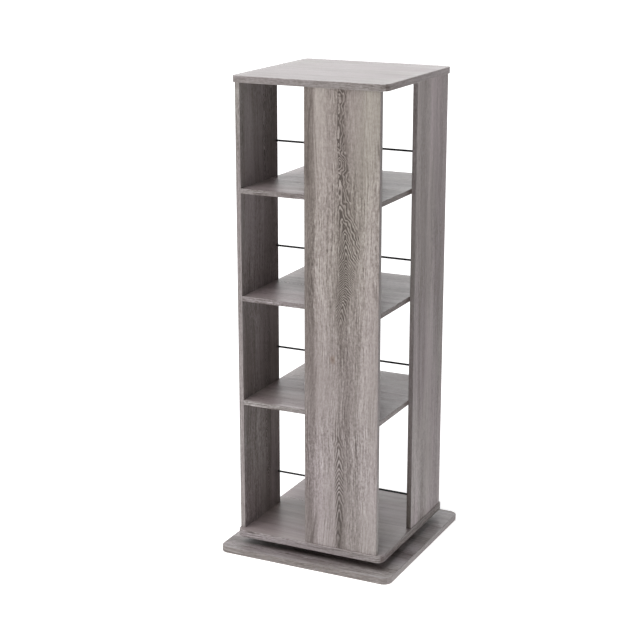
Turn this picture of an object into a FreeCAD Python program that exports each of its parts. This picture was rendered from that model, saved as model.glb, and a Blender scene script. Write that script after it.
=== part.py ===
import FreeCAD, Part
import os, math

os.makedirs("parts", exist_ok=True)
V = FreeCAD.Vector

# ---------------------------------------------------------------------------
# Four-tier revolving bookcase.  Millimetres, +Z up.
# Origin: centre of the footprint, on the floor.  -Y is the front.
# The carcase is a pinwheel: four upright panels stand outside the edges of
# square shelves.  Each one is flush with one corner of the shelf and reaches
# just past the middle of its side, so every tier is open on half of each side.
# ---------------------------------------------------------------------------

# boards
shelf_half = 180.0        # half side of the square shelves
shelf_t = 12.0
panel_t = 12.0
panel_w = 189.0           # width of an upright panel
cap_half = 195.5          # half side of the top and bottom boards
cap_corner_r = 18.0
top_t = 16.0
bottom_t = 18.0
base_half = 228.0         # half side of the base board
base_corner_r = 22.0
base_t = 16.0
cap_edge_r = 1.8          # rounding of the thick boards' edge bands
cap_band = 2.0            # edge band of the top, bottom and base boards
board_edge_r = 0.6        # arris of the panels' and shelves' edge bands
board_band = 1.0          # edge band of the panels and shelves

# heights
pad_t = 2.0
swivel_h = 8.0            # turntable, closed height
spacer_t = 12.0
tier_low = 322.0          # clear height of the lowest tier
tier = 248.0              # clear height of the three tiers above it

z_base0 = pad_t
z_base1 = z_base0 + base_t
z_sw1 = z_base1 + swivel_h
z_bot0 = z_sw1 + spacer_t
z_bot1 = z_bot0 + bottom_t
z_s3 = z_bot1 + tier_low              # underside of the lowest shelf
z_s2 = z_s3 + shelf_t + tier
z_s1 = z_s2 + shelf_t + tier
z_top0 = z_s1 + shelf_t + tier
z_top1 = z_top0 + top_t

# rods that keep books apart in the middle of every tier
rod_r = 2.5
rod_up = 87.0             # rod across the bookcase, above the shelf
rod_up_deep = 96.0        # rod from front to back, above the shelf
rod_seat = 7.0            # depth of the rod's blind hole in a panel
rod_hole_r = 2.55

# turntable
plate_half = 80.0
plate_t = 1.5
plate_corner_r = 8.0
race_r = 52.0             # pitch circle of the balls
race_half_w = 5.0
ball_r = 2.38
groove_r = 2.70
ball_n = 30
z_ball = z_base1 + swivel_h / 2
collar_r0, collar_r1 = 33.0, 34.5
lip_r = 38.0
web_r0, web_r1 = 36.0, 43.5
hole_at = 68.0            # corner screw holes of both plates
access_at, access_r = 96.0, 8.0       # screwdriver hole in the base board

# spacer between the turntable and the bottom board
spacer_half = 120.0
spacer_hole_at = 104.0

# knock-down fittings
cam_r, cam_h, cam_back = 6.0, 9.0, 24.0
bolt_thread_r, bolt_thread_l = 2.45, 10.0
bolt_shaft_r, bolt_head_r, bolt_head_l = 1.7, 2.4, 2.2
bolt_bore_r = 2.9
cap_disc_r, cap_disc_t = 7.5, 1.2     # plastic cap over a cam in a panel
dowel_r, dowel_l = 3.0, 24.0
confirmat_r, confirmat_l = 2.5, 50.0
confirmat_head_r, confirmat_head_l = 4.5, 3.0


def cyl(r, h, x, y, z, d=(0, 0, 1)):
    return Part.makeCylinder(r, h, V(x, y, z), V(*d))


def box(x0, y0, z0, x1, y1, z1):
    return Part.makeBox(x1 - x0, y1 - y0, z1 - z0, V(x0, y0, z0))


def square_board(half, z0, z1, corner_r, edge_r):
    """Square board with rounded corners and a softened top and bottom arris."""
    b = box(-half, -half, z0, half, half, z1)
    if corner_r:
        up = [e for e in b.Edges
              if abs(e.Vertexes[0].Z - e.Vertexes[-1].Z) > 0.5 * (z1 - z0)]
        b = b.makeFillet(corner_r, up)
    if edge_r:
        rim = [e for e in b.Edges
               if abs(e.BoundBox.ZMax - e.BoundBox.ZMin) < 1e-6]
        b = b.makeFillet(edge_r, rim)
    return b


def split_thick(board, half, z0, z1, corner_r):
    """Core of a thick board and the band wrapped round its edge."""
    inner = square_board(half - cap_band, z0 - 1, z1 + 1, corner_r - cap_band, 0)
    return board.common(inner), board.cut(inner)


def turn(shape, quarter):
    """A copy turned about the bookcase's axis by quarter turns."""
    s = shape.copy()
    s.rotate(V(0, 0, 0), V(0, 0, 1), 90.0 * quarter)
    return s


def front_upright():
    """The front panel: outside the front edge, flush with the right corner."""
    p = box(shelf_half - panel_w, -shelf_half - panel_t, z_bot1,
            shelf_half, -shelf_half, z_top0)
    long_edges = [e for e in p.Edges if e.Length > 0.9 * (z_top0 - z_bot1)]
    return p.makeFillet(board_edge_r, long_edges)


# the front panel's own fittings; the other three panels repeat them by turns
shelf_z0 = [z_s1, z_s2, z_s3]
cam_x = [24.0, 150.0]                 # along the front edge
dowel_x = 87.0
mid_t = -shelf_half - panel_t / 2     # middle of the front panel's thickness

cam_caps = []
panel_cuts, shelf_cuts = [], {z: [] for z in shelf_z0}
top_cuts, bottom_cuts = [], []
cams, bolts, dowels, confirmats = [], [], [], []


def cam_at(x, y, z_face, up):
    """Cam disc pushed into a face.  up is the direction out of the board."""
    disc = cyl(cam_r - 0.05, cam_h - 0.2, 0, 0, -cam_h + 0.2)
    disc = disc.makeFillet(0.4, [e for e in disc.Edges
                                 if abs(e.BoundBox.ZMin) < 1e-6 and abs(e.BoundBox.ZMax) < 1e-6])
    for a in (0, 90):                 # cross recess
        s = box(-3.6, -0.7, -1.8, 3.6, 0.7, 1)
        s.rotate(V(0, 0, 0), V(0, 0, 1), 45 + a)
        disc = disc.cut(s)
    # mouth in which the bolt's head turns, open to -Y
    disc = disc.cut(box(-2.7, -8, -cam_h / 2 - 1.5 - 2.7, 2.7, 2.0, -cam_h / 2 - 1.5 + 2.7))
    return disc


# shelf to panel: cams in the underside of the shelf, bolts through its edge
for z0 in shelf_z0:
    zc = z0 + shelf_t / 2
    for x in cam_x:
        cy = -shelf_half + cam_back
        shelf_cuts[z0].append(cyl(cam_r, cam_h, x, cy, z0))
        shelf_cuts[z0].append(cyl(bolt_bore_r, cam_back + 1, x, -shelf_half - 1, zc, (0, 1, 0)))
        panel_cuts.append(cyl(bolt_thread_r + 0.05, bolt_thread_l, x,
                              -shelf_half - bolt_thread_l, zc, (0, 1, 0)))
        d = cam_at(x, cy, z0, -1)
        d.rotate(V(0, 0, 0), V(0, 1, 0), 180)
        d.translate(V(x, cy, z0))
        cams.append(d)
        b = cyl(bolt_thread_r, bolt_thread_l - 0.2, x, -shelf_half - bolt_thread_l + 0.2, zc, (0, 1, 0))
        b = b.fuse(cyl(bolt_shaft_r, cam_back + 0.5, x, -shelf_half - 0.5, zc, (0, 1, 0)))
        b = b.fuse(cyl(bolt_head_r, bolt_head_l, x, cy - bolt_head_l + 1.0, zc, (0, 1, 0)))
        bolts.append(b.removeSplitter())
    shelf_cuts[z0].append(cyl(dowel_r + 0.05, 16.5, dowel_x, -shelf_half, zc, (0, 1, 0)))
    panel_cuts.append(cyl(dowel_r + 0.05, 8.5, dowel_x, -shelf_half - 8.5, zc, (0, 1, 0)))
    dw = cyl(dowel_r, dowel_l, dowel_x, -shelf_half - 8.0, zc, (0, 1, 0))
    dowels.append(dw.makeChamfer(0.7, [e for e in dw.Edges if e.Curve.TypeId == "Part::GeomCircle"]))

# top board to panel: cams in the panel's inner face, bolts in the top board
for x in cam_x:
    cz = z_top0 - cam_back
    panel_cuts.append(cyl(cam_r, cam_h, x, -shelf_half - cam_h, cz, (0, 1, 0)))
    panel_cuts.append(cyl(bolt_bore_r, cam_back + 1, x, mid_t, cz, (0, 0, 1)))
    top_cuts.append(cyl(bolt_thread_r + 0.05, bolt_thread_l, x, mid_t, z_top0))
    d = cam_at(0, 0, 0, 1)
    d.rotate(V(0, 0, 0), V(1, 0, 0), -90)         # outward face to +Y, mouth to +Z
    d.translate(V(x, -shelf_half, cz))
    cams.append(d)
    c = cyl(cap_disc_r, cap_disc_t, x, -shelf_half, cz, (0, 1, 0))
    cam_caps.append(c.makeFillet(0.9, [e for e in c.Edges
                                       if abs(e.BoundBox.YMin - (-shelf_half + cap_disc_t)) < 1e-6]))
    b = cyl(bolt_thread_r, bolt_thread_l - 0.2, x, mid_t, z_top0)
    b = b.fuse(cyl(bolt_shaft_r, cam_back + 0.5, x, mid_t, cz))
    b = b.fuse(cyl(bolt_head_r, bolt_head_l, x, mid_t, cz - 1.0))
    bolts.append(b.removeSplitter())
top_cuts.append(cyl(dowel_r + 0.05, 12.0, dowel_x, mid_t, z_top0))
panel_cuts.append(cyl(dowel_r + 0.05, 13.0, dowel_x, mid_t, z_top0 - 13.0))
dw = cyl(dowel_r, dowel_l, dowel_x, mid_t, z_top0 - 12.5)
dowels.append(dw.makeChamfer(0.7, [e for e in dw.Edges if e.Curve.TypeId == "Part::GeomCircle"]))

# bottom board to panel: long screws from below, and a dowel
for x in cam_x:
    bottom_cuts.append(cyl(confirmat_r + 0.05, bottom_t + 1, x, mid_t, z_bot0))
    bottom_cuts.append(cyl(confirmat_head_r + 0.1, confirmat_head_l + 0.2, x, mid_t, z_bot0 - 0.01))
    panel_cuts.append(cyl(confirmat_r + 0.05, confirmat_l - bottom_t + 2, x, mid_t, z_bot1 - 1))
    s = cyl(confirmat_head_r, confirmat_head_l, x, mid_t, z_bot0 + 0.1)
    s = s.fuse(cyl(confirmat_r, confirmat_l - 4, x, mid_t, z_bot0 + 0.1))
    s = s.fuse(Part.makeCone(confirmat_r, 0.6, 2.5, V(x, mid_t, z_bot0 + confirmat_l - 3.9), V(0, 0, 1)))
    hexa = Part.Face(Part.makePolygon([V(x + 2.0 * math.cos(math.radians(a)), mid_t + 2.0 * math.sin(math.radians(a)), z_bot0)
                                       for a in (0, 60, 120, 180, 240, 300, 360)])).extrude(V(0, 0, 2.6))
    confirmats.append(s.cut(hexa).removeSplitter())
bottom_cuts.append(cyl(dowel_r + 0.05, 12.0, dowel_x, mid_t, z_bot1 - 12.0))
panel_cuts.append(cyl(dowel_r + 0.05, 13.0, dowel_x, mid_t, z_bot1))
dw = cyl(dowel_r, dowel_l, dowel_x, mid_t, z_bot1 - 11.8)
dowels.append(dw.makeChamfer(0.7, [e for e in dw.Edges if e.Curve.TypeId == "Part::GeomCircle"]))

nodes = {}

# --- uprights -------------------------------------------------------------
# quarter 0 = front, 1 = right, 2 = back, 3 = left
names = ["front_panel", "right_panel", "back_panel", "left_panel"]
tier_floor = [z_s1 + shelf_t, z_s2 + shelf_t, z_s3 + shelf_t, z_bot1]
blank = front_upright()
for c in panel_cuts:
    blank = blank.cut(c)
for q, name in enumerate(names):
    p = blank
    # seats of the rods, in the middle of the side: the front and back panels
    # hold the front-to-back rods, the left and right panels the cross rods
    up = rod_up_deep if q % 2 == 0 else rod_up
    for zf in tier_floor:
        p = p.cut(cyl(rod_hole_r, rod_seat, 0, -shelf_half - rod_seat, zf + up, (0, 1, 0)))
    core = box(shelf_half - panel_w + board_band, -shelf_half - panel_t - 1, z_bot1 - 1,
               shelf_half - board_band, -shelf_half + 1, z_top0 + 1)
    nodes[name] = turn(p.common(core), q)
    nodes[name + "_edge_bands"] = turn(Part.makeCompound(p.cut(core).Solids), q)

# --- shelves, top and bottom boards ----------------------------------------
for i, z0 in enumerate(shelf_z0):
    s = square_board(shelf_half, z0, z0 + shelf_t, 0, board_edge_r)
    for q in range(4):
        for c in shelf_cuts[z0]:
            s = s.cut(turn(c, q))
    ci = shelf_half - board_band
    core = box(-ci, -ci, z0 - 1, ci, ci, z0 + shelf_t + 1)
    bands = []
    for sgn in (-1, 1):
        y0, y1 = sorted((sgn * ci, sgn * (shelf_half + 1)))
        bands += s.common(box(-shelf_half - 1, y0, z0 - 1, shelf_half + 1, y1, z0 + shelf_t + 1)).Solids
        bands += s.common(box(y0, -ci, z0 - 1, y1, ci, z0 + shelf_t + 1)).Solids
    nodes["shelf_%d" % (i + 1)] = s.common(core)
    nodes["shelf_%d_edge_bands" % (i + 1)] = Part.makeCompound(bands)

t = square_board(cap_half, z_top0, z_top1, cap_corner_r, cap_edge_r)
for q in range(4):
    for c in top_cuts:
        t = t.cut(turn(c, q))
nodes["top_board"], nodes["top_board_edge_band"] = split_thick(t, cap_half, z_top0, z_top1, cap_corner_r)

b = square_board(cap_half, z_bot0, z_bot1, cap_corner_r, cap_edge_r)
for q in range(4):
    for c in bottom_cuts:
        b = b.cut(turn(c, q))

# --- spacer under the bottom board ------------------------------------------
sp = square_board(spacer_half, z_sw1, z_bot0, 10.0, 0.8)
spacer_screws, upper_screws, lower_screws = [], [], []
for sx in (-1, 1):
    for sy in (-1, 1):
        x, y = sx * spacer_hole_at, sy * spacer_hole_at
        # countersunk screw up through the spacer into the bottom board
        sp = sp.cut(cyl(2.1, spacer_t + 1, x, y, z_sw1 - 0.5))
        sp = sp.cut(Part.makeCone(4.2, 2.1, 2.4, V(x, y, z_sw1), V(0, 0, 1)))
        b = b.cut(cyl(2.05, 13.0, x, y, z_bot0 - 0.01))
        s = Part.makeCone(4.0, 2.0, 2.2, V(x, y, z_sw1 + 0.05), V(0, 0, 1))
        s = s.fuse(cyl(2.0, 18.0, x, y, z_sw1 + 2.25))
        s = s.fuse(Part.makeCone(2.0, 0.4, 3.5, V(x, y, z_sw1 + 20.25), V(0, 0, 1)))
        for a in (0, 90):
            k = box(-2.2, -0.5, 0, 2.2, 0.5, 1.5)
            k.rotate(V(0, 0, 0), V(0, 0, 1), a)
            k.translate(V(x, y, z_sw1))
            s = s.cut(k)
        spacer_screws.append(s.removeSplitter())

nodes["bottom_board"], nodes["bottom_board_edge_band"] = split_thick(b, cap_half, z_bot0, z_bot1, cap_corner_r)

# --- rods ---------------------------------------------------------------------
for i, zf in enumerate(tier_floor):
    half = shelf_half + rod_seat - 0.3
    r = cyl(rod_r, 2 * half, -half, 0, zf + rod_up, (1, 0, 0))
    nodes["cross_rod_%d" % (i + 1)] = r.makeChamfer(0.4, [e for e in r.Edges if e.Curve.TypeId == "Part::GeomCircle"])
    r = cyl(rod_r, 2 * half, 0, -half, zf + rod_up_deep, (0, 1, 0))
    nodes["depth_rod_%d" % (i + 1)] = r.makeChamfer(0.4, [e for e in r.Edges if e.Curve.TypeId == "Part::GeomCircle"])

# --- base board -----------------------------------------------------------------
base = square_board(base_half, z_base0, z_base1, base_corner_r, cap_edge_r)
base = base.cut(cyl(access_r, base_t + 2, access_at, 0, z_base0 - 1))


def plate(z0):
    p = box(-plate_half, -plate_half, z0, plate_half, plate_half, z0 + plate_t)
    up = [e for e in p.Edges if abs(e.Vertexes[0].Z - e.Vertexes[-1].Z) > 0.5 * plate_t]
    return p.makeFillet(plate_corner_r, up)


def ring(r0, r1, z0, z1):
    return cyl(r1, z1 - z0, 0, 0, z0).cut(cyl(r0, z1 - z0 + 2, 0, 0, z0 - 1))


groove = Part.makeTorus(race_r, groove_r, V(0, 0, z_ball), V(0, 0, 1))

# --- turntable, lower plate: flange, race, collar and rolled lip ------------------
lower = plate(z_base1).cut(cyl(collar_r0, 4, 0, 0, z_base1 - 1))
lower = lower.fuse(ring(race_r - race_half_w, race_r + race_half_w, z_base1 + plate_t, z_ball - 0.7))
lower = lower.fuse(ring(collar_r0, collar_r1, z_base1, z_sw1 - plate_t))
lower = lower.fuse(ring(collar_r1 - 0.5, lip_r, z_sw1 - plate_t - 1.0, z_sw1 - plate_t))
lower = lower.cut(groove)

# --- turntable, upper plate: flange, race, and the web held under the lip ---------
upper = plate(z_sw1 - plate_t).cut(cyl(web_r1 - 1.5, 4, 0, 0, z_sw1 - 3))
upper = upper.fuse(ring(race_r - race_half_w, race_r + race_half_w, z_ball + 0.7, z_sw1 - plate_t))
upper = upper.fuse(ring(web_r1 - 1.5, web_r1, z_ball - 0.2, z_sw1 - plate_t))
upper = upper.fuse(ring(web_r0, web_r1, z_ball - 0.2, z_ball + 1.0))
upper = upper.cut(groove)


def pan_screw(x, y, z_seat, up, length):
    """Pan-head wood screw.  up = 1 points up into wood, -1 points down."""
    s = cyl(3.8, 2.0, 0, 0, -2.0)
    s = s.makeFillet(0.9, [e for e in s.Edges if abs(e.BoundBox.ZMax + 2.0) < 1e-6])
    s = s.fuse(cyl(2.0, length - 3.5, 0, 0, 0))
    s = s.fuse(Part.makeCone(2.0, 0.4, 3.5, V(0, 0, length - 3.5), V(0, 0, 1)))
    for a in (0, 90):
        k = box(-2.0, -0.45, -2.5, 2.0, 0.45, -0.8)
        k.rotate(V(0, 0, 0), V(0, 0, 1), a + 20)
        s = s.cut(k)
    s = s.removeSplitter()
    if up < 0:
        s.rotate(V(0, 0, 0), V(1, 0, 0), 180)
    s.translate(V(x, y, z_seat))
    return s


for sx in (-1, 1):
    for sy in (-1, 1):
        x, y = sx * hole_at, sy * hole_at
        lower = lower.cut(cyl(2.3, 6, x, y, z_base1 - 1))
        base = base.cut(cyl(2.05, 13.0, x, y, z_base1 - 13.0))
        lower_screws.append(pan_screw(x, y, z_base1 + plate_t, -1, 13.5))
        upper = upper.cut(cyl(2.3, 6, x, y, z_sw1 - 4))
        sp = sp.cut(cyl(2.05, 11.0, x, y, z_sw1 - 0.01))
        upper_screws.append(pan_screw(x, y, z_sw1 - plate_t, 1, 12.0))

nodes["base_board"], nodes["base_board_edge_band"] = split_thick(base, base_half, z_base0, z_base1, base_corner_r)
nodes["spacer_board"] = sp
nodes["turntable_lower_plate"] = lower.removeSplitter()
nodes["turntable_upper_plate"] = upper.removeSplitter()
nodes["lower_plate_screws"] = Part.makeCompound(lower_screws)
nodes["upper_plate_screws"] = Part.makeCompound(upper_screws)
nodes["spacer_screws"] = Part.makeCompound(spacer_screws)

# --- balls and their cage -----------------------------------------------------------
cage = ring(race_r - race_half_w + 0.6, race_r + race_half_w - 0.6, z_ball - 0.4, z_ball + 0.4)
balls = []
for i in range(ball_n):
    a = 2 * math.pi * (i + 0.5) / ball_n
    x, y = race_r * math.cos(a), race_r * math.sin(a)
    balls.append(Part.makeSphere(ball_r, V(x, y, z_ball)))
    cage = cage.cut(cyl(ball_r + 0.12, 3, x, y, z_ball - 1.5))
nodes["ball_cage"] = cage
nodes["bearing_balls"] = Part.makeCompound(balls)

# --- pads under the base --------------------------------------------------------------
pads = []
for x, y in [(-190, -190), (190, -190), (190, 190), (-190, 190),
             (0, -190), (190, 0), (0, 190), (-190, 0)]:
    p = cyl(15.0, pad_t, x, y, 0)
    pads.append(p.makeFillet(0.8, [e for e in p.Edges if abs(e.BoundBox.ZMax) < 1e-6]))
nodes["floor_pads"] = Part.makeCompound(pads)

# --- knock-down fittings of all four sides ----------------------------------------------
nodes["cam_locks"] = Part.makeCompound([turn(s, q) for q in range(4) for s in cams])
nodes["cam_caps"] = Part.makeCompound([turn(s, q) for q in range(4) for s in cam_caps])
nodes["cam_bolts"] = Part.makeCompound([turn(s, q) for q in range(4) for s in bolts])
nodes["dowels"] = Part.makeCompound([turn(s, q) for q in range(4) for s in dowels])
nodes["bottom_screws"] = Part.makeCompound([turn(s, q) for q in range(4) for s in confirmats])

for name, shape in nodes.items():
    bad = [i for i, s in enumerate(shape.Solids) if not s.isValid()]
    print(name, "solids", len(shape.Solids), "bad" if bad else "ok",
          "volume %.1f" % shape.Volume,
          "z %.2f..%.2f" % (shape.BoundBox.ZMin, shape.BoundBox.ZMax))
    shape.exportStep("parts/%s.step" % name)
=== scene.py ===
import bpy
import math
from mathutils import Vector, Matrix


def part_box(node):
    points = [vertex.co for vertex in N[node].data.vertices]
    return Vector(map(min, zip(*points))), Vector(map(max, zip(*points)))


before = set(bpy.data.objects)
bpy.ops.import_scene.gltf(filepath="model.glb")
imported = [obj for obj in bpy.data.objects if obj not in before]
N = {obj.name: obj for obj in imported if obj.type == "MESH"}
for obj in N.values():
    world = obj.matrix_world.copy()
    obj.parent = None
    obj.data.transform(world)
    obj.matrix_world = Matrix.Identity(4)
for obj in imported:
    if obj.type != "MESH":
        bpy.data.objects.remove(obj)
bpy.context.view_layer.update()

# ---------------------------------------------------------------------------
# node helper
# ---------------------------------------------------------------------------


class Tree:
    """Short words for building a node tree."""

    def __init__(self, tree):
        self.t = tree
        self.n = tree.nodes
        self.l = tree.links

    def put(self, sock, value):
        if value is None:
            return
        if isinstance(value, bpy.types.NodeSocket):
            self.l.new(value, sock)
        else:
            sock.default_value = value

    def add(self, kind, **attrs):
        node = self.n.new(kind)
        for k, v in attrs.items():
            setattr(node, k, v)
        return node

    def math(self, op, a, b=None, c=None, clamp=False):
        m = self.add("ShaderNodeMath", operation=op, use_clamp=clamp)
        self.put(m.inputs[0], a)
        if b is not None:
            self.put(m.inputs[1], b)
        if c is not None:
            self.put(m.inputs[2], c)
        return m.outputs[0]

    def mul(self, a, b):
        return self.math("MULTIPLY", a, b)

    def plus(self, a, b):
        return self.math("ADD", a, b)

    def minus(self, a, b):
        return self.math("SUBTRACT", a, b)

    def mad(self, a, b, c):
        return self.math("MULTIPLY_ADD", a, b, c)

    def xyz(self, v):
        s = self.add("ShaderNodeSeparateXYZ")
        self.put(s.inputs[0], v)
        return s.outputs[0], s.outputs[1], s.outputs[2]

    def vec(self, x, y, z):
        c = self.add("ShaderNodeCombineXYZ")
        self.put(c.inputs[0], x)
        self.put(c.inputs[1], y)
        self.put(c.inputs[2], z)
        return c.outputs[0]

    def noise(self, vector, scale=1.0, detail=2.0, rough=0.5, dist=0.0, flat=False):
        n = self.add("ShaderNodeTexNoise")
        if flat:
            n.noise_dimensions = "2D"
        self.put(n.inputs["Vector"], vector)
        n.inputs["Scale"].default_value = scale
        n.inputs["Detail"].default_value = detail
        n.inputs["Roughness"].default_value = rough
        n.inputs["Distortion"].default_value = dist
        return n.outputs[0]

    def voronoi(self, vector, scale=1.0, feature="F1", rand=1.0):
        n = self.add("ShaderNodeTexVoronoi", feature=feature)
        self.put(n.inputs["Vector"], vector)
        n.inputs["Scale"].default_value = scale
        n.inputs["Randomness"].default_value = rand
        return n

    def range(self, x, a, b, c=0.0, d=1.0, kind="SMOOTHSTEP"):
        r = self.add("ShaderNodeMapRange", interpolation_type=kind)
        self.put(r.inputs[0], x)
        for i, v in zip((1, 2, 3, 4), (a, b, c, d)):
            self.put(r.inputs[i], v)
        return r.outputs[0]

    def mix(self, fac, a, b, blend="MIX"):
        m = self.add("ShaderNodeMix", data_type="RGBA", blend_type=blend)
        self.put(m.inputs[0], fac)
        self.put(m.inputs[6], a)
        self.put(m.inputs[7], b)
        return m.outputs[2]

    def mixf(self, fac, a, b):
        m = self.add("ShaderNodeMix", data_type="FLOAT")
        self.put(m.inputs[0], fac)
        self.put(m.inputs[2], a)
        self.put(m.inputs[3], b)
        return m.outputs[0]

    def ramp(self, fac, stops, kind="LINEAR"):
        r = self.add("ShaderNodeValToRGB")
        r.color_ramp.interpolation = kind
        el = r.color_ramp.elements
        while len(el) < len(stops):
            el.new(0.5)
        for e, (p, c) in zip(el, stops):
            e.position = p
            e.color = (c[0], c[1], c[2], 1.0)
        self.put(r.inputs[0], fac)
        return r.outputs[0]

    def curve(self, x, pts):
        c = self.add("ShaderNodeFloatCurve")
        cm = c.mapping
        cm.use_clip = False
        cc = cm.curves[0]
        while len(cc.points) < len(pts):
            cc.points.new(0.5, 0.5)
        for q, (a, b) in zip(cc.points, pts):
            q.location = (a, b)
            q.handle_type = "AUTO_CLAMPED"
        cm.update()
        self.put(c.inputs["Value"], x)
        return c.outputs[0]

    def bump(self, height, strength, distance, normal=None):
        b = self.add("ShaderNodeBump")
        b.inputs["Strength"].default_value = strength
        b.inputs["Distance"].default_value = distance
        self.put(b.inputs["Height"], height)
        if normal is not None:
            self.put(b.inputs["Normal"], normal)
        return b.outputs[0]


def new_material(name):
    m = bpy.data.materials.new(name)
    m.use_nodes = True
    t = Tree(m.node_tree)
    m.node_tree.nodes.clear()
    out = t.add("ShaderNodeOutputMaterial")
    p = t.add("ShaderNodeBsdfPrincipled")
    t.l.new(p.outputs[0], out.inputs[0])
    return m, t, p


def give(node, material):
    o = N[node]
    if not o.data.materials:
        o.data.materials.append(None)
    for i in range(len(o.material_slots)):
        o.material_slots[i].material = material


# ---------------------------------------------------------------------------
# grey oak print: one node group for every board and edge band
# ---------------------------------------------------------------------------


def oak_group():
    g = bpy.data.node_groups.new("grey_oak_print", "ShaderNodeTree")
    face = g.interface
    for name, kind, value in (
        ("Vector", "NodeSocketVector", None),
        ("Centre", "NodeSocketFloat", 0.0),
        ("Rings", "NodeSocketFloat", 0.0),
        ("Spread", "NodeSocketFloat", 1.0),
        ("Reach Left", "NodeSocketFloat", 0.01),
        ("Reach Right", "NodeSocketFloat", 0.02),
        ("Figure", "NodeSocketFloat", 1.0),
        ("Bands", "NodeSocketFloat", 1.0),
        ("Streaks", "NodeSocketFloat", 1.0),
        ("Tone", "NodeSocketFloat", 0.0),
        ("Tint", "NodeSocketColor", (1.0, 1.0, 1.0, 1.0)),
        ("Ripple", "NodeSocketFloat", 1.0),
        ("Lean", "NodeSocketFloat", 1.0),
        ("Veins", "NodeSocketFloat", 0.0),
        ("Fine", "NodeSocketFloat", 1.0),
    ):
        s = face.new_socket(name=name, in_out="INPUT", socket_type=kind)
        if value is not None:
            s.default_value = value
    face.new_socket(name="Color", in_out="OUTPUT", socket_type="NodeSocketColor")
    face.new_socket(name="Roughness", in_out="OUTPUT", socket_type="NodeSocketFloat")
    face.new_socket(name="Height", in_out="OUTPUT", socket_type="NodeSocketFloat")
    t = Tree(g)
    gi = t.add("NodeGroupInput").outputs
    go = t.add("NodeGroupOutput").inputs
    u, w, v = t.xyz(gi["Vector"])

    wu, wv = t.mul(w, 41.7), t.mul(w, 97.3)

    def field(au, av, detail=2.0, rough=0.5, uu=None, shift=0.0):
        a = t.mad(uu if uu is not None else u, au, t.plus(wu, shift))
        return t.minus(t.noise(t.vec(a, t.mad(v, av, wv), 0.0), 1.0, detail, rough, flat=True), 0.5)

    # the fibres wander sideways
    drift = field(4.0, 3.6, 1.0)
    wander = field(16.0, 7.0, 1.0, shift=31.0)
    u2 = t.plus(t.mad(drift, 0.026, u), t.mul(wander, 0.0040))

    wide = field(11.0, 0.9, 1.0, 0.6, uu=u2, shift=3.0)
    mid = field(38.0, 1.3, 2.0, 0.7, uu=u2, shift=11.0)
    soft = field(23.0, 8.0, 3.0, 0.7, uu=u2, shift=71.0)
    long_fibre = field(75.0, 4.5, 2.0, 0.75, uu=u2, shift=5.0)
    short_fibre = field(150.0, 20.0, 2.0, 0.7, uu=u2, shift=53.0)
    blot = field(46.0, 40.0, 2.0, 0.7, uu=u2, shift=83.0)
    dash = field(165.0, 85.0, 2.0, 0.7, uu=u2, shift=19.0)
    fleck = field(230.0, 165.0, 1.0, 0.6, uu=u2, shift=113.0)
    vein = field(27.0, 2.2, 1.0, 0.6, uu=u2, shift=181.0)
    # straight lines that fade in and out along the board
    def carrier(per_metre, phase):
        return t.math("SINE", t.mul(t.mad(u2, per_metre, phase), 2.0 * math.pi))

    phase_a = t.mul(field(38.0, 1.2, 1.0, uu=u2, shift=17.0), 2.6)
    phase_b = t.mul(field(47.0, 1.7, 1.0, uu=u2, shift=67.0), 3.2)
    line_a = carrier(92.0, phase_a)
    line_b = carrier(150.0, phase_b)
    line_c = carrier(410.0, t.mul(phase_a, 2.3))
    fade_a = field(30.0, 11.0, 3.0, 0.9, uu=u2, shift=101.0)
    fade_b = field(33.0, 13.0, 3.0, 0.9, uu=u2, shift=137.0)
    hair = field(900.0, 24.0, 2.0, uu=u2, shift=7.0)
    pores = t.range(field(1900.0, 70.0, 2.0, 0.6, uu=u2, shift=43.0), 0.07, 0.20)
    crease = t.mul(t.range(t.math("ABSOLUTE", field(17.0, 1.1, 1.0, uu=u2, shift=151.0)), 0.0, 0.022, 1.0, 0.0),
                   t.range(field(10.0, 3.2, 1.0, shift=163.0), -0.06, 0.12))
    rich = t.range(field(9.0, 2.6, 1.0, shift=91.0), -0.16, 0.16, 0.55, 1.35)

    # cathedral figure: the rings come up to the face at a slant
    du = t.minus(u2, gi["Centre"])
    bow = t.math("SQRT", t.mad(du, du, 0.0018 ** 2))
    side = t.range(du, -0.003, 0.003, 0.0, 1.0)
    per_metre = t.mul(t.mixf(side, 240.0, 175.0), gi["Spread"])
    ripple = t.plus(t.mul(field(52.0, 44.0, 1.0, shift=23.0), 2.8), t.mul(field(190.0, 110.0, 0.0, shift=29.0), 0.6))
    turns = t.plus(t.mad(bow, per_metre, gi["Rings"]), t.mul(ripple, gi["Ripple"]))
    saw = t.math("FRACT", turns)
    line = t.mul(t.range(saw, 0.0, 0.25, 0.0, 1.0), t.range(saw, 0.40, 0.90, 1.0, 0.0))
    reach = t.mixf(side, gi["Reach Left"], gi["Reach Right"])
    off = t.math("ABSOLUTE", du)
    inside = t.range(off, t.mul(reach, 0.60), t.mul(reach, 1.15), 1.0, 0.0)
    core = t.mul(inside, gi["Figure"])
    broken = t.range(field(60.0, 34.0, 1.0, shift=37.0), -0.16, 0.14, 0.55, 1.15)
    apex = t.range(off, 0.0, 0.005, 1.35, 0.9)
    lines = t.mul(t.mul(core, t.mul(broken, apex)), t.minus(line, 0.42))
    calm = t.minus(1.0, t.mul(core, 0.65))

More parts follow.
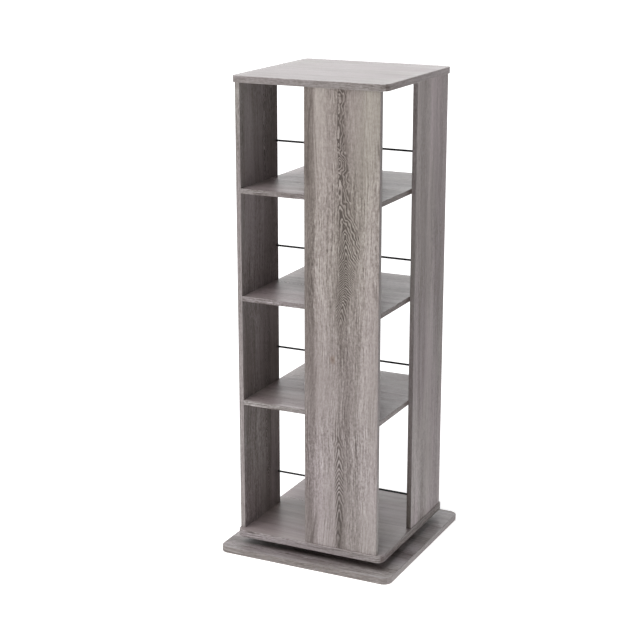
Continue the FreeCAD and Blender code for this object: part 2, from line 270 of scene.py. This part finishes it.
    # tone of the print, about 0.5
    k = t.mad(t.plus(t.mul(wide, 0.50), t.mul(mid, 0.42)), gi["Bands"], 0.5)
    s = t.mul(soft, 0.17)
    s = t.mad(long_fibre, 0.26, s)
    fine = t.mul(short_fibre, 0.20)
    fine = t.mad(blot, 0.05, fine)
    fine = t.mad(fleck, 0.24, fine)
    fine = t.mad(dash, 0.40, fine)
    s = t.mad(fine, gi["Fine"], s)
    s = t.plus(s, t.mul(line_a, t.mad(fade_a, 0.42, 0.011)))
    s = t.plus(s, t.mul(line_b, t.mad(fade_b, 0.98, 0.017)))
    s = t.plus(s, t.mul(line_c, t.mad(fade_a, 0.60, 0.020)))
    s = t.mad(hair, 0.34, s)
    s = t.mul(s, rich)
    k = t.mad(t.mul(s, calm), gi["Streaks"], k)
    k = t.minus(k, t.mul(t.mad(pores, 0.12, t.mul(crease, 0.16)), gi["Streaks"]))
    k = t.mad(vein, gi["Veins"], k)
    k = t.minus(k, t.mul(lines, 0.70))
    k = t.minus(k, t.mul(core, 0.07))
    k = t.plus(k, gi["Tone"])
    colour = t.ramp(k, (
        (0.00, (0.077, 0.059, 0.050)),
        (0.22, (0.158, 0.127, 0.111)),
        (0.42, (0.252, 0.214, 0.196)),
        (0.60, (0.352, 0.306, 0.282)),
        (0.80, (0.462, 0.412, 0.384)),
        (1.00, (0.560, 0.515, 0.485)),
    ))
    # patches lean to mauve or to straw
    lean = t.mul(t.plus(field(7.0, 1.6, 1.0, shift=61.0), t.mul(mid, 0.35)), gi["Lean"])
    colour = t.mix(t.range(lean, -0.16, 0.16), t.mix(1.0, colour, (0.987, 1.0, 0.977, 1), "MULTIPLY"),
                   t.mix(1.0, colour, (1.014, 0.990, 1.022, 1), "MULTIPLY"))
    colour = t.mix(1.0, colour, gi["Tint"], "MULTIPLY")
    t.put(go["Color"], colour)
    rough = t.mad(long_fibre, -0.22, 0.40)
    rough = t.mad(pores, 0.12, rough)
    rough = t.mad(soft, 0.10, rough)
    t.put(go["Roughness"], rough)
    height = t.mad(long_fibre, 0.5, t.mul(dash, 0.45))
    height = t.mad(hair, 0.3, height)
    height = t.minus(height, t.mul(pores, 0.55))
    height = t.minus(height, t.mul(lines, 0.35))
    t.put(go["Height"], height)
    return g


OAK = oak_group()


def oak(name, across, along, seed, centre=0.0, reach=(0.008, 0.018), figure=1.0, bands=1.0, streaks=1.0, tone=0.0,
        tone_y_print_and_shade=None, rings=None, spread=None, reach_l=None, reach_r=None, ripple=None, power=None, sway=None, painted_light_by_height=None, inner_painted_shade=None, across_print_and_shade=None, tone_gain=None, tint=(0.972, 1.0, 1.072),
        tint_low=None, tint_x=None, run=None, lean=1.0, veins=0.0, fine=1.0, tilt=0.0, knots=(), outline=None, band=False):
    """Grey oak on a board.  across and along are the letters of the face's axes, and 'e' for along means
    along the edge of a band that goes round a board.  outline = (ax, ay, cx, cy, hx, hy, r) in metres.
    rings, spread, reach_l, reach_r, ripple, power and sway are curves of the cathedral figure over the board's length,
    and across_print_and_shade is a curve of tone over its width, tone_gain its strength over the length: the print's
    broad bands, and on the base board also painted light and shade.  painted_light_by_height = (tone at the foot, tone
    at the top, and the heights between which it changes) is painted light and shade by height, inner_painted_shade =
    (axis, sign, tone at the foot, tone at the top) painted shade on the face that looks that way.  tint and tint_low
    lean the print's grey at the top and at the foot, and tint_x on a band's strips that face along x.  run = tone of
    those strips at their two ends.  tone_y_print_and_shade is the tone of a band's strips that face along y, tone that
    of those along x; they differ by print and by painted shade."""
    m, t, p = new_material(name)
    tc = t.add("ShaderNodeTexCoord")
    axes = dict(zip("xyz", t.xyz(tc.outputs["Object"])))
    if along == "e":
        nx, ny, nz = t.xyz(tc.outputs["Normal"])
        side = t.math("GREATER_THAN", t.math("ABSOLUTE", nx), t.math("ABSOLUTE", ny))
        v = t.mixf(side, axes["x"], t.mul(axes["y"], -1.0))
        u = axes["z"]
        w = t.mul(side, 0.37)
    else:
        u, v = axes[across], axes[along]
        w = axes[(set("xyz") - {across, along}).pop()]
    g = t.add("ShaderNodeGroup", node_tree=OAK)
    t.put(g.inputs["Vector"], t.vec(u, t.plus(w, 0.11 * seed), t.plus(v, seed * 1.7)))
    if figure > 0.0:
        def along_noise(scale, shift):
            return t.minus(t.noise(t.vec(shift, seed * 3.1, t.mul(v, scale)), 1.0, 1.0), 0.5)
        if rings:
            tv = t.range(v, 0.05, 1.17, 0.0, 1.0, "LINEAR")
            t.put(g.inputs["Rings"], t.plus(t.mul(t.curve(tv, rings[0]), rings[1]), t.mul(along_noise(14.0, 2.0), 1.6)))
            t.put(g.inputs["Spread"], t.curve(tv, spread))
            t.put(g.inputs["Ripple"], t.curve(tv, ripple))
            t.put(g.inputs["Reach Left"], t.mul(t.curve(tv, reach_l), 0.05))
            t.put(g.inputs["Reach Right"], t.mul(t.curve(tv, reach_r), 0.05))
            t.put(g.inputs["Figure"], t.mul(t.curve(tv, power), figure))
            t.put(g.inputs["Centre"], t.plus(t.mul(t.curve(tv, sway), 0.05), centre - 0.025))
        else:
            t.put(g.inputs["Rings"], t.mad(v, 34.0, t.mul(along_noise(3.1, 13.0), 34.0)))
            wav = along_noise(4.0, 5.0)
            t.put(g.inputs["Reach Left"], t.range(wav, -0.2, 0.2, reach[0] * 0.5, reach[0] * 1.5))
            t.put(g.inputs["Reach Right"], t.range(wav, -0.2, 0.2, reach[1] * 0.5, reach[1] * 1.5))
            t.put(g.inputs["Figure"], t.range(along_noise(3.6, 9.0), -0.14, 0.10, figure * 0.2, figure))
            t.put(g.inputs["Centre"], t.mad(along_noise(2.6, 41.0), 0.030, centre))
    else:
        g.inputs["Figure"].default_value = 0.0
    g.inputs["Bands"].default_value = bands
    g.inputs["Lean"].default_value = lean
    g.inputs["Veins"].default_value = veins
    g.inputs["Fine"].default_value = fine
    g.inputs["Streaks"].default_value = streaks
    # tone across the width: the print's broad bands, and on the base board also painted light and painted shade
    if across_print_and_shade:
        tu = t.range(t.plus(u, t.mul(t.minus(t.noise(t.vec(seed, 3.0, t.mul(v, 3.0)), 1.0, 1.0), 0.5), 0.02)),
                     across_print_and_shade[0], across_print_and_shade[1], 0.0, 1.0, "LINEAR")
        tg = t.curve(t.range(v, 0.05, 1.17, 0.0, 1.0, "LINEAR"), tone_gain)
        shade = t.mad(t.minus(t.curve(tu, across_print_and_shade[2]), 0.5), t.mul(tg, 2.0), tone)
    # the strips facing along x and along y get different tones: print, and painted shade that makes one side darker
    # than the other
    elif tone_y_print_and_shade is not None:                   # the band's strips differ from face to face
        shade = t.mixf(side, tone_y_print_and_shade, t.plus(t.range(axes["y"], -0.19, 0.19, *run, "LINEAR"), tone) if run else tone)
    else:
        shade = tone
    if tilt:                                   # tone that grows along the board
        shade = t.mad(v, tilt, shade)
    # painted light and shade: the tone changes with height
    if painted_light_by_height:
        shade = t.plus(shade, t.range(axes["z"], *painted_light_by_height[2:], *painted_light_by_height[:2]))
    # painted shade: the face that looks along the given axis is made darker, more so higher up
    if inner_painted_shade:
        n3 = dict(zip("xyz", t.xyz(tc.outputs["Normal"])))
        shade = t.plus(shade, t.mul(t.range(t.mul(n3[inner_painted_shade[0]], inner_painted_shade[1]), 0.2, 0.8), t.range(axes["z"], 0.36, 0.46, *inner_painted_shade[2:])))
    t.put(g.inputs["Tone"], shade)
    if tint_low:
        t.put(g.inputs["Tint"], t.mix(t.range(v, 0.15, 0.95), (*tint_low, 1), (*tint, 1)))
    elif tint_x:
        t.put(g.inputs["Tint"], t.mix(side, (*tint, 1), (*tint_x, 1)))
    else:
        g.inputs["Tint"].default_value = (*tint, 1)
    colour, rough, height = g.outputs["Color"], g.outputs["Roughness"], g.outputs["Height"]
    for ku, kv, kr in knots:
        e = t.vec(t.mul(t.minus(u, ku), 1.0 / kr), 0.0, t.mul(t.minus(v, kv), 0.62 / kr))
        wob = t.minus(t.noise(e, 1.4, 2.0), 0.5)
        ln = t.add("ShaderNodeVectorMath", operation="LENGTH")
        t.put(ln.inputs[0], e)
        d = t.mad(wob, 0.9, ln.outputs["Value"])
        colour = t.mix(t.range(d, 0.35, 1.5, 0.62, 0.0), colour, (0.185, 0.120, 0.088, 1))
        colour = t.mix(t.range(d, 0.0, 0.5, 0.5, 0.0), colour, (0.09, 0.055, 0.04, 1))
    if outline:
        ax, ay, cx, cy, hx, hy, r = outline
        qx = t.minus(t.math("ABSOLUTE", t.minus(axes[ax], cx)), hx - r)
        qy = t.minus(t.math("ABSOLUTE", t.minus(axes[ay], cy)), hy - r)
        ox, oy = t.math("MAXIMUM", qx, 0.0), t.math("MAXIMUM", qy, 0.0)
        d = t.plus(t.math("SQRT", t.plus(t.mul(ox, ox), t.mul(oy, oy))),
                   t.math("MINIMUM", t.math("MAXIMUM", qx, qy), 0.0))
        d = t.minus(r, d)                      # distance in from the outline
        worn = t.noise(tc.outputs["Object"], 38.0, 3.0, 0.6)
        if band:                               # rubbed arris of the edge band
            rub = t.mul(t.range(d, 0.0002, 0.0016, 1.0, 0.0), t.range(worn, 0.35, 0.7, 0.15, 0.6))
            rub = t.mul(rub, t.range(t.math("ABSOLUTE", t.xyz(tc.outputs["Normal"])[2]), 0.2, 0.8, 0.0, 1.0))
            colour = t.mix(rub, colour, (0.46, 0.43, 0.405, 1))
        else:                                  # glue line of the band, and handling near the rim
            seam = t.range(d, 0.00012, 0.00045, 0.55, 0.0)
            dull = t.mul(t.range(d, 0.001, 0.030, 0.16, 0.0), worn)
            colour = t.mix(dull, colour, (0.20, 0.18, 0.165, 1))
            colour = t.mix(seam, colour, (0.07, 0.06, 0.055, 1))
            rough = t.mad(t.range(d, 0.001, 0.030, 1.0, 0.0), -0.03, rough)
            height = t.minus(height, t.mul(seam, 1.2))
    t.put(p.inputs["Base Color"], colour)
    t.put(p.inputs["Roughness"], rough)
    p.inputs["IOR"].default_value = 1.5
    p.inputs["Specular IOR Level"].default_value = 0.5
    t.put(p.inputs["Normal"], t.bump(height, 0.35, 0.00018))
    return m


# half sizes, metres, read from the pieces' meshes in model.glb
def hull(node):
    lo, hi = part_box(node)
    return lo, hi


def panel_outline(node, ax):
    lo, hi = hull(node)
    i = "xyz".index(ax)
    c, h = (lo[i] + hi[i]) / 2, (hi[i] - lo[i]) / 2
    return (ax, "z", c, (lo.z + hi.z) / 2, h, (hi.z - lo.z) / 2 + 1.0, 0.0)


def square_outline(node, r):
    lo, hi = hull(node)
    return ("x", "y", 0.0, 0.0, (hi.x - lo.x) / 2, (hi.y - lo.y) / 2, r)


FRONT = dict(
    rings=(((0.0, 0.0), (0.10, 0.058), (0.24, 0.260), (0.51, 0.388), (0.65, 0.796), (0.76, 0.938), (0.785, 0.950),
            (0.796, 0.936), (0.808, 0.957), (0.832, 0.930), (0.870, 0.960), (0.900, 0.950), (0.955, 0.954), (0.975, 0.944),
            (1.0, 0.972)), 48.0),
    spread=((0.0, 0.8), (0.10, 0.85), (0.24, 0.85), (0.40, 0.8), (0.52, 0.9), (0.65, 0.9), (0.72, 0.75), (0.78, 0.7),
            (0.84, 0.8), (0.92, 0.95), (1.0, 0.8)),
    ripple=((0.0, 0.45), (0.10, 0.30), (0.24, 0.30), (0.34, 0.6), (0.52, 0.62), (0.64, 0.60), (0.73, 0.62), (0.80, 1.0), (0.86, 1.1),
            (0.91, 0.7), (0.95, 0.8), (1.0, 1.2)),
    reach_l=((0.0, 0.12), (0.10, 0.22), (0.22, 0.24), (0.32, 0.14), (0.48, 0.16), (0.56, 0.34), (0.66, 0.34), (0.76, 0.14),
             (0.84, 0.055), (1.0, 0.055)),
    reach_r=((0.0, 0.12), (0.10, 0.24), (0.22, 0.26), (0.32, 0.16), (0.46, 0.14), (0.52, 0.30), (0.60, 0.40), (0.68, 0.76),
             (0.76, 0.60), (0.84, 0.44), (0.92, 0.30), (1.0, 0.46)),
    power=((0.0, 0.35), (0.04, 0.42), (0.10, 0.75), (0.24, 0.75), (0.31, 0.22), (0.36, 0.08), (0.47, 0.10), (0.53, 0.80),
           (0.64, 0.90), (0.74, 0.85), (0.86, 0.95), (1.0, 0.80)),
    sway=((0.0, 0.54), (0.2, 0.56), (0.34, 0.60), (0.5, 0.60), (0.62, 0.90), (0.70, 0.76), (0.78, 0.50), (1.0, 0.52)),
    across_print_and_shade=(-0.009, 0.180, ((0.0, 0.37), (0.08, 0.28), (0.13, 0.40), (0.15, 0.58), (0.21, 0.65), (0.36, 0.50),
                                 (0.43, 0.47), (0.455, 0.33), (0.55, 0.34), (0.63, 0.46), (0.73, 0.51), (0.86, 0.60),
                                 (1.0, 0.55))),
    tone_gain=((0.0, 0.42), (0.17, 0.41), (0.28, 0.37), (0.40, 0.40), (0.51, 0.47), (0.61, 0.55), (0.71, 0.50),
               (0.91, 0.56), (1.0, 0.56)),
    tint=(0.992, 1.0, 0.974), tint_low=(1.003, 1.0, 1.062), lean=0.55,
)
# painted light: the front panel's print is a little lighter towards its foot and darker at the top
give("front_panel", oak("oak_front_panel", "x", "z", 1, centre=0.078, figure=1.0, bands=0.5, streaks=1.08,
                        painted_light_by_height=(0.03, -0.02, 0.2, 1.0), knots=((0.064, 0.528, 0.0065),),
                        outline=panel_outline("front_panel", "x"), **FRONT))
give("back_panel", oak("oak_back_panel", "x", "z", 2, centre=-0.120, reach=(0.016, 0.024), figure=0.9,
                       tint=(0.988, 1.0, 0.995), tint_low=(1.003, 1.0, 1.055),
                       outline=panel_outline("back_panel", "x")))
# painted light: the right panel's print is lighter towards its foot and darker at the top
give("right_panel", oak("oak_right_panel", "y", "z", 3, centre=0.150, reach=(0.006, 0.012), figure=0.25, streaks=1.05,
                        bands=1.4, veins=0.3, fine=0.75, lean=2.0, painted_light_by_height=(0.095, -0.075, 0.26, 0.72), tint=(1.015, 0.970, 1.050),
                        tint_low=(1.006, 0.980, 1.058),
                        across_print_and_shade=(-0.009, 0.180, ((0.0, 0.76), (0.08, 0.66), (0.15, 0.53), (0.30, 0.35), (0.41, 0.50),
                                                     (0.51, 0.60), (0.67, 0.53), (0.88, 0.38), (1.0, 0.46))),
                        tone_gain=((0.0, 0.5), (1.0, 0.5)), outline=panel_outline("right_panel", "y")))
# painted shade: the left panel's inner face is darker than its outer face, more so higher up
give("left_panel", oak("oak_left_panel", "y", "z", 4, centre=-0.060, reach=(0.012, 0.02), figure=0.8, tone=-0.02,
                       inner_painted_shade=("x", 1.0, -0.08, -0.15),
                       outline=panel_outline("left_panel", "y")))
for i in (1, 2, 3):
    give("shelf_%d" % i, oak("oak_shelf_%d" % i, "y", "x", 5 + i, centre=0.05 * i - 0.11, figure=0.7, streaks=0.6,
                             tone=(0.03, -0.01, 0.06)[i - 1], tint=(1.0, 0.983, 1.055),
                             outline=square_outline("shelf_%d" % i, 0.0)))
    # painted shade: the strips of each shelf's band that face along x are darker than those facing along y, most on the
    # top shelf
    give("shelf_%d_edge_bands" % i, oak("oak_shelf_%d_bands" % i, "z", "e", 15 + i, figure=0.0, bands=0.4, streaks=1.3,
                                        tone=(-0.32, -0.20, -0.03)[i - 1], tone_y_print_and_shade=(-0.105, -0.095, 0.03)[i - 1],
                                        tint_x=(1.0, 0.983, 1.055)))
give("top_board", oak("oak_top_board", "y", "x", 10, centre=-0.03, reach=(0.02, 0.03), figure=0.12, bands=0.2, streaks=0.17,
                      tone=-0.05, outline=square_outline("top_board", 0.016)))
give("bottom_board", oak("oak_bottom_board", "y", "x", 11, centre=0.04, figure=0.6, streaks=0.25, veins=0.15, tint=(1.0, 0.983, 1.055),
                         outline=square_outline("bottom_board", 0.016)))
# painted light and shade mixed with the print's streaks: the base is lighter at its front rim and near the front of its
# side ledges, and darker just in front of the bottom board
give("base_board", oak("oak_base_board", "y", "x", 12, centre=-0.02, reach=(0.02, 0.03), figure=0.3, bands=1.2, streaks=1.6,
                       veins=0.8, fine=0.45, tilt=0.7,
                       tone=-0.045, across_print_and_shade=(-0.228, 0.228, ((0.0, 1.15), (0.03, 0.72), (0.05, 0.52), (0.08, 0.34),
                                                                 (0.125, 0.40), (0.20, 0.95), (0.25, 0.84), (0.345, 0.45),
                                                                 (0.44, 0.76), (0.56, 0.51), (0.66, 0.60), (0.71, 0.40),
                                                                 (0.90, 0.40))),
                       tone_gain=((0.0, 0.5), (1.0, 0.5)), outline=square_outline("base_board", 0.020)))
# painted light and shade: each band's strips facing along x and along y get different tones, so the top and bottom
# boards' side strips and the base's front and back strips read darker
for node, seed in (("top_board_edge_band", 21), ("bottom_board_edge_band", 22), ("base_board_edge_band", 23)):
    give(node, oak("oak_" + node, "z", "e", seed, figure=0.0, bands=0.3, streaks=0.8 if node.startswith("base") else 1.25,
                   fine=0.4 if node.startswith("base") else 0.9,
                   run={"top": (-0.14, 0.19), "bottom": (0.02, -0.02), "base": (0.04, -0.04)}[node.split("_")[0]],
                   tone={"top": -0.13, "bottom": -0.30, "base": -0.08}[node.split("_")[0]],
                   tone_y_print_and_shade={"top": -0.045, "bottom": 0.015, "base": -0.19}[node.split("_")[0]],
                   tint_x={"top": (1.0, 0.985, 1.055), "bottom": (1.0, 0.983, 1.055), "base": (0.975, 1.0, 1.068)}[node.split("_")[0]],
                   outline=square_outline(node, 0.022 if node.startswith("base") else 0.018), band=True))
# painted light and shade: the front and left panels' edge bands are lighter towards their foot, the right panel's
# darker towards its foot
for node, across, seed, along in (("front_panel_edge_bands", "y", 31, (0.11, -0.09, 0.2, 1.1)), ("back_panel_edge_bands", "y", 32, None),
                                  ("right_panel_edge_bands", "x", 33, (-0.125, 0.135, 0.12, 0.8)),
                                  ("left_panel_edge_bands", "x", 34, (0.10, 0.01, 0.10, 1.10))):
    give(node, oak("oak_" + node, across, "z", seed, figure=0.0, bands=0.6, streaks=0.7, tone=-0.08, painted_light_by_height=along,
                   tint=(0.958, 1.0, 1.04)))
give("spacer_board", oak("oak_spacer", "y", "x", 13, centre=0.02, figure=0.4, tone=-0.03))

# ---------------------------------------------------------------------------
# metals, plastics, pads
# ---------------------------------------------------------------------------


def black_rod():
    m, t, p = new_material("black_powder_coat")
    tc = t.add("ShaderNodeTexCoord").outputs["Object"]
    peel = t.noise(tc, 1400.0, 2.0, 0.5)
    patch = t.noise(tc, 30.0, 3.0, 0.5)
    t.put(p.inputs["Base Color"], t.ramp(patch, ((0.3, (0.012, 0.012, 0.013)), (0.7, (0.024, 0.023, 0.023)))))
    t.put(p.inputs["Roughness"], t.range(patch, 0.3, 0.7, 0.34, 0.46, "LINEAR"))
    t.put(p.inputs["Normal"], t.bump(peel, 0.25, 0.00006))
    return m


def zinc(name, base, rough0, rough1, scale=260.0, tint=None):
    m, t, p = new_material(name)
    tc = t.add("ShaderNodeTexCoord").outputs["Object"]
    spangle = t.voronoi(tc, scale)
    grey = t.noise(spangle.outputs["Position"], 3.0, 1.0)
    cloud = t.noise(tc, 40.0, 4.0, 0.6)
    scratch = t.noise(t.vec(*[t.mul(c, k) for c, k in zip(t.xyz(tc), (60.0, 2600.0, 900.0))]), 1.0, 2.0)
    k = t.mad(t.minus(grey, 0.5), 0.5, t.mad(t.minus(cloud, 0.5), 0.5, 0.5))
    lo = [c * 0.72 for c in base]
    hi = [min(1.0, c * 1.18) for c in base]
    col = t.ramp(k, ((0.2, lo), (0.8, hi)))
    if tint:
        col = t.mix(t.range(cloud, 0.45, 0.75, 0.0, 0.5), col, (*tint, 1))
    t.put(p.inputs["Base Color"], col)
    p.inputs["Metallic"].default_value = 1.0
    t.put(p.inputs["Roughness"], t.range(k, 0.2, 0.8, rough0, rough1, "LINEAR"))
    t.put(p.inputs["Normal"], t.bump(t.mad(scratch, 0.5, cloud), 0.15, 0.00005))
    return m


def nylon():
    m, t, p = new_material("natural_nylon")
    tc = t.add("ShaderNodeTexCoord").outputs["Object"]
    k = t.noise(tc, 120.0, 3.0)
    t.put(p.inputs["Base Color"], t.ramp(k, ((0.3, (0.62, 0.60, 0.53)), (0.7, (0.74, 0.72, 0.66)))))
    t.put(p.inputs["Roughness"], t.range(k, 0.3, 0.7, 0.38, 0.5, "LINEAR"))
    t.put(p.inputs["Normal"], t.bump(t.noise(tc, 900.0, 2.0), 0.2, 0.00005))
    return m


def steel_ball():
    m, t, p = new_material("ball_steel")
    tc = t.add("ShaderNodeTexCoord").outputs["Object"]
    k = t.noise(tc, 700.0, 3.0)
    t.put(p.inputs["Base Color"], t.ramp(k, ((0.3, (0.58, 0.58, 0.59)), (0.7, (0.70, 0.70, 0.71)))))
    p.inputs["Metallic"].default_value = 1.0
    t.put(p.inputs["Roughness"], t.range(k, 0.3, 0.8, 0.08, 0.2, "LINEAR"))
    return m


def beech():
    m, t, p = new_material("beech_dowel")
    tc = t.add("ShaderNodeTexCoord").outputs["Object"]
    k = t.noise(tc, 500.0, 4.0, 0.65)
    fl = t.range(t.noise(tc, 1800.0, 2.0), 0.58, 0.7)
    col = t.ramp(k, ((0.25, (0.50, 0.34, 0.19)), (0.75, (0.68, 0.51, 0.33))))
    t.put(p.inputs["Base Color"], t.mix(t.mul(fl, 0.5), col, (0.36, 0.22, 0.12, 1)))
    t.put(p.inputs["Roughness"], t.range(k, 0.2, 0.8, 0.6, 0.75, "LINEAR"))
    t.put(p.inputs["Normal"], t.bump(k, 0.3, 0.0001))
    return m


def foam_pad():
    m, t, p = new_material("black_foam")
    tc = t.add("ShaderNodeTexCoord").outputs["Object"]
    cells = t.voronoi(tc, 1500.0).outputs["Distance"]
    dust = t.noise(tc, 60.0, 4.0)
    t.put(p.inputs["Base Color"], t.ramp(t.mad(cells, 0.4, t.mul(dust, 0.6)),
                                         ((0.2, (0.020, 0.020, 0.021)), (0.8, (0.060, 0.058, 0.056)))))
    t.put(p.inputs["Roughness"], t.range(dust, 0.3, 0.7, 0.8, 0.95, "LINEAR"))
    t.put(p.inputs["Normal"], t.bump(cells, 0.5, 0.0003))
    return m


def cap_plastic():
    m, t, p = new_material("cap_plastic")
    tc = t.add("ShaderNodeTexCoord").outputs["Object"]
    k = t.noise(tc, 90.0, 3.0)
    t.put(p.inputs["Base Color"], t.ramp(k, ((0.3, (0.205, 0.185, 0.172)), (0.7, (0.265, 0.243, 0.226)))))
    t.put(p.inputs["Roughness"], t.range(k, 0.3, 0.7, 0.42, 0.55, "LINEAR"))
    t.put(p.inputs["Normal"], t.bump(t.noise(tc, 2400.0, 2.0), 0.25, 0.00005))
    return m


rod_paint = black_rod()
for i in (1, 2, 3, 4):
    give("cross_rod_%d" % i, rod_paint)
    give("depth_rod_%d" % i, rod_paint)
plate = zinc("zinc_plate", (0.56, 0.57, 0.58), 0.30, 0.48)
give("turntable_lower_plate", plate)
give("turntable_upper_plate", plate)
screw = zinc("zinc_screw", (0.62, 0.60, 0.55), 0.24, 0.40, 500.0, tint=(0.62, 0.55, 0.36))
for n in ("lower_plate_screws", "upper_plate_screws", "spacer_screws", "bottom_screws", "cam_bolts"):
    give(n, screw)
give("cam_locks", zinc("cast_zinc", (0.46, 0.46, 0.47), 0.42, 0.62, 700.0))
give("cam_caps", cap_plastic())
give("dowels", beech())
give("ball_cage", nylon())
give("bearing_balls", steel_ball())
give("floor_pads", foam_pad())

# ---------------------------------------------------------------------------
# floor, light, camera
# ---------------------------------------------------------------------------
AMBIENT, BACKDROP, FLOOR_GLOW, FLOOR_BOUNCE, FLOOR_SHEEN = 0.10, 1.95, 0.85, 1.30, 0.9
me = bpy.data.meshes.new("floor")
S = 60.0
me.from_pydata([(-S, -S, 0), (S, -S, 0), (S, S, 0), (-S, S, 0)], [], [(0, 1, 2, 3)])
floor = bpy.data.objects.new("floor", me)
bpy.context.scene.collection.objects.link(floor)
fm = bpy.data.materials.new("floor_white")
fm.use_nodes = True
ft = Tree(fm.node_tree)
fm.node_tree.nodes.clear()
fo = ft.add("ShaderNodeOutputMaterial")
fd = ft.add("ShaderNodeBsdfDiffuse")
fe = ft.add("ShaderNodeEmission")
fa = ft.add("ShaderNodeAddShader")
rays = ft.add("ShaderNodeLightPath")
soft = ft.noise(ft.add("ShaderNodeTexCoord").outputs["Object"], 0.5, 1.0)
# the white sweep is lit by lamps of its own
ft.put(fd.inputs["Color"], ft.mix(rays.outputs["Is Camera Ray"], (0.02, 0.02, 0.02, 1.0),
                                  ft.ramp(soft, ((0.0, (0.86, 0.86, 0.86)), (1.0, (0.88, 0.88, 0.88))))))
# brighter towards the key light and close to the object
px, py, _ = ft.xyz(ft.add("ShaderNodeTexCoord").outputs["Object"])
pr = ft.math("MAXIMUM", ft.math("SQRT", ft.plus(ft.mul(px, px), ft.mul(py, py))), 0.01)
toward = ft.math("DIVIDE", ft.plus(ft.mul(px, -0.574), ft.mul(py, -0.819)), pr)
near = ft.mul(ft.range(pr, 0.25, 0.85, 1.0, 0.0), ft.range(toward, -0.75, 0.75, 1.3, 0.15))
bounce = ft.mul(ft.range(toward, -0.75, 0.75, 0.41, 1.12), ft.plus(near, 1.0))
ft.put(fe.inputs["Strength"], ft.mixf(rays.outputs["Is Camera Ray"],
                                      ft.mixf(rays.outputs["Is Glossy Ray"], ft.mul(bounce, FLOOR_BOUNCE), FLOOR_SHEEN),
                                      FLOOR_GLOW))
ft.l.new(fd.outputs[0], fa.inputs[0])
ft.l.new(fe.outputs[0], fa.inputs[1])
ft.l.new(fa.outputs[0], fo.inputs[0])
me.materials.append(fm)

sc = bpy.context.scene
world = bpy.data.worlds.new("studio")
sc.world = world
world.use_nodes = True
wt = Tree(world.node_tree)
world.node_tree.nodes.clear()
wo = wt.add("ShaderNodeOutputWorld")
lp = wt.add("ShaderNodeLightPath")
bg = wt.add("ShaderNodeBackground")
wt.put(bg.inputs["Color"], (1.0, 1.0, 1.0, 1.0))
wt.put(bg.inputs["Strength"], wt.mixf(lp.outputs["Is Diffuse Ray"], wt.mixf(lp.outputs["Is Glossy Ray"], 1.0, BACKDROP), AMBIENT))
wt.l.new(bg.outputs[0], wo.inputs[0])


def sun(name, energy, angle, toward, colour=(1, 1, 1)):
    d = bpy.data.lights.new(name, "SUN")
    d.energy = energy
    d.angle = math.radians(angle)
    d.color = colour
    o = bpy.data.objects.new(name, d)
    o.rotation_mode = "QUATERNION"
    o.rotation_quaternion = Vector(toward).to_track_quat("-Z", "Y")
    sc.collection.objects.link(o)
    return o


sun("key", 1.95, 50, (0.287, 0.410, -0.866))

# camera at the photograph's angle
az, pitch, dist = math.radians(25.864), math.radians(15.8346), 21.2218 * 0.18
tx, tz = -0.308 * 0.18, 3.1427 * 0.18 + 0.002
fwd = Vector((-math.sin(az) * math.cos(pitch), math.cos(az) * math.cos(pitch), -math.sin(pitch)))
right = Vector((math.cos(az), math.sin(az), 0.0))
cd = bpy.data.cameras.new("camera")
cd.sensor_width = 36.0
cd.lens = 1563.4486 * 36.0 / 640.0
cam = bpy.data.objects.new("camera", cd)
cam.location = Vector((0, 0, tz)) + right * tx - fwd * dist
cam.rotation_mode = "QUATERNION"
cam.rotation_quaternion = fwd.to_track_quat("-Z", "Y")
cd.clip_start, cd.clip_end = 0.05, 200.0
sc.collection.objects.link(cam)
sc.camera = cam
sc.view_settings.view_transform = "Standard"
sc.view_settings.look = "None"
sc.view_settings.exposure = 0.0
sc.view_settings.gamma = 1.0
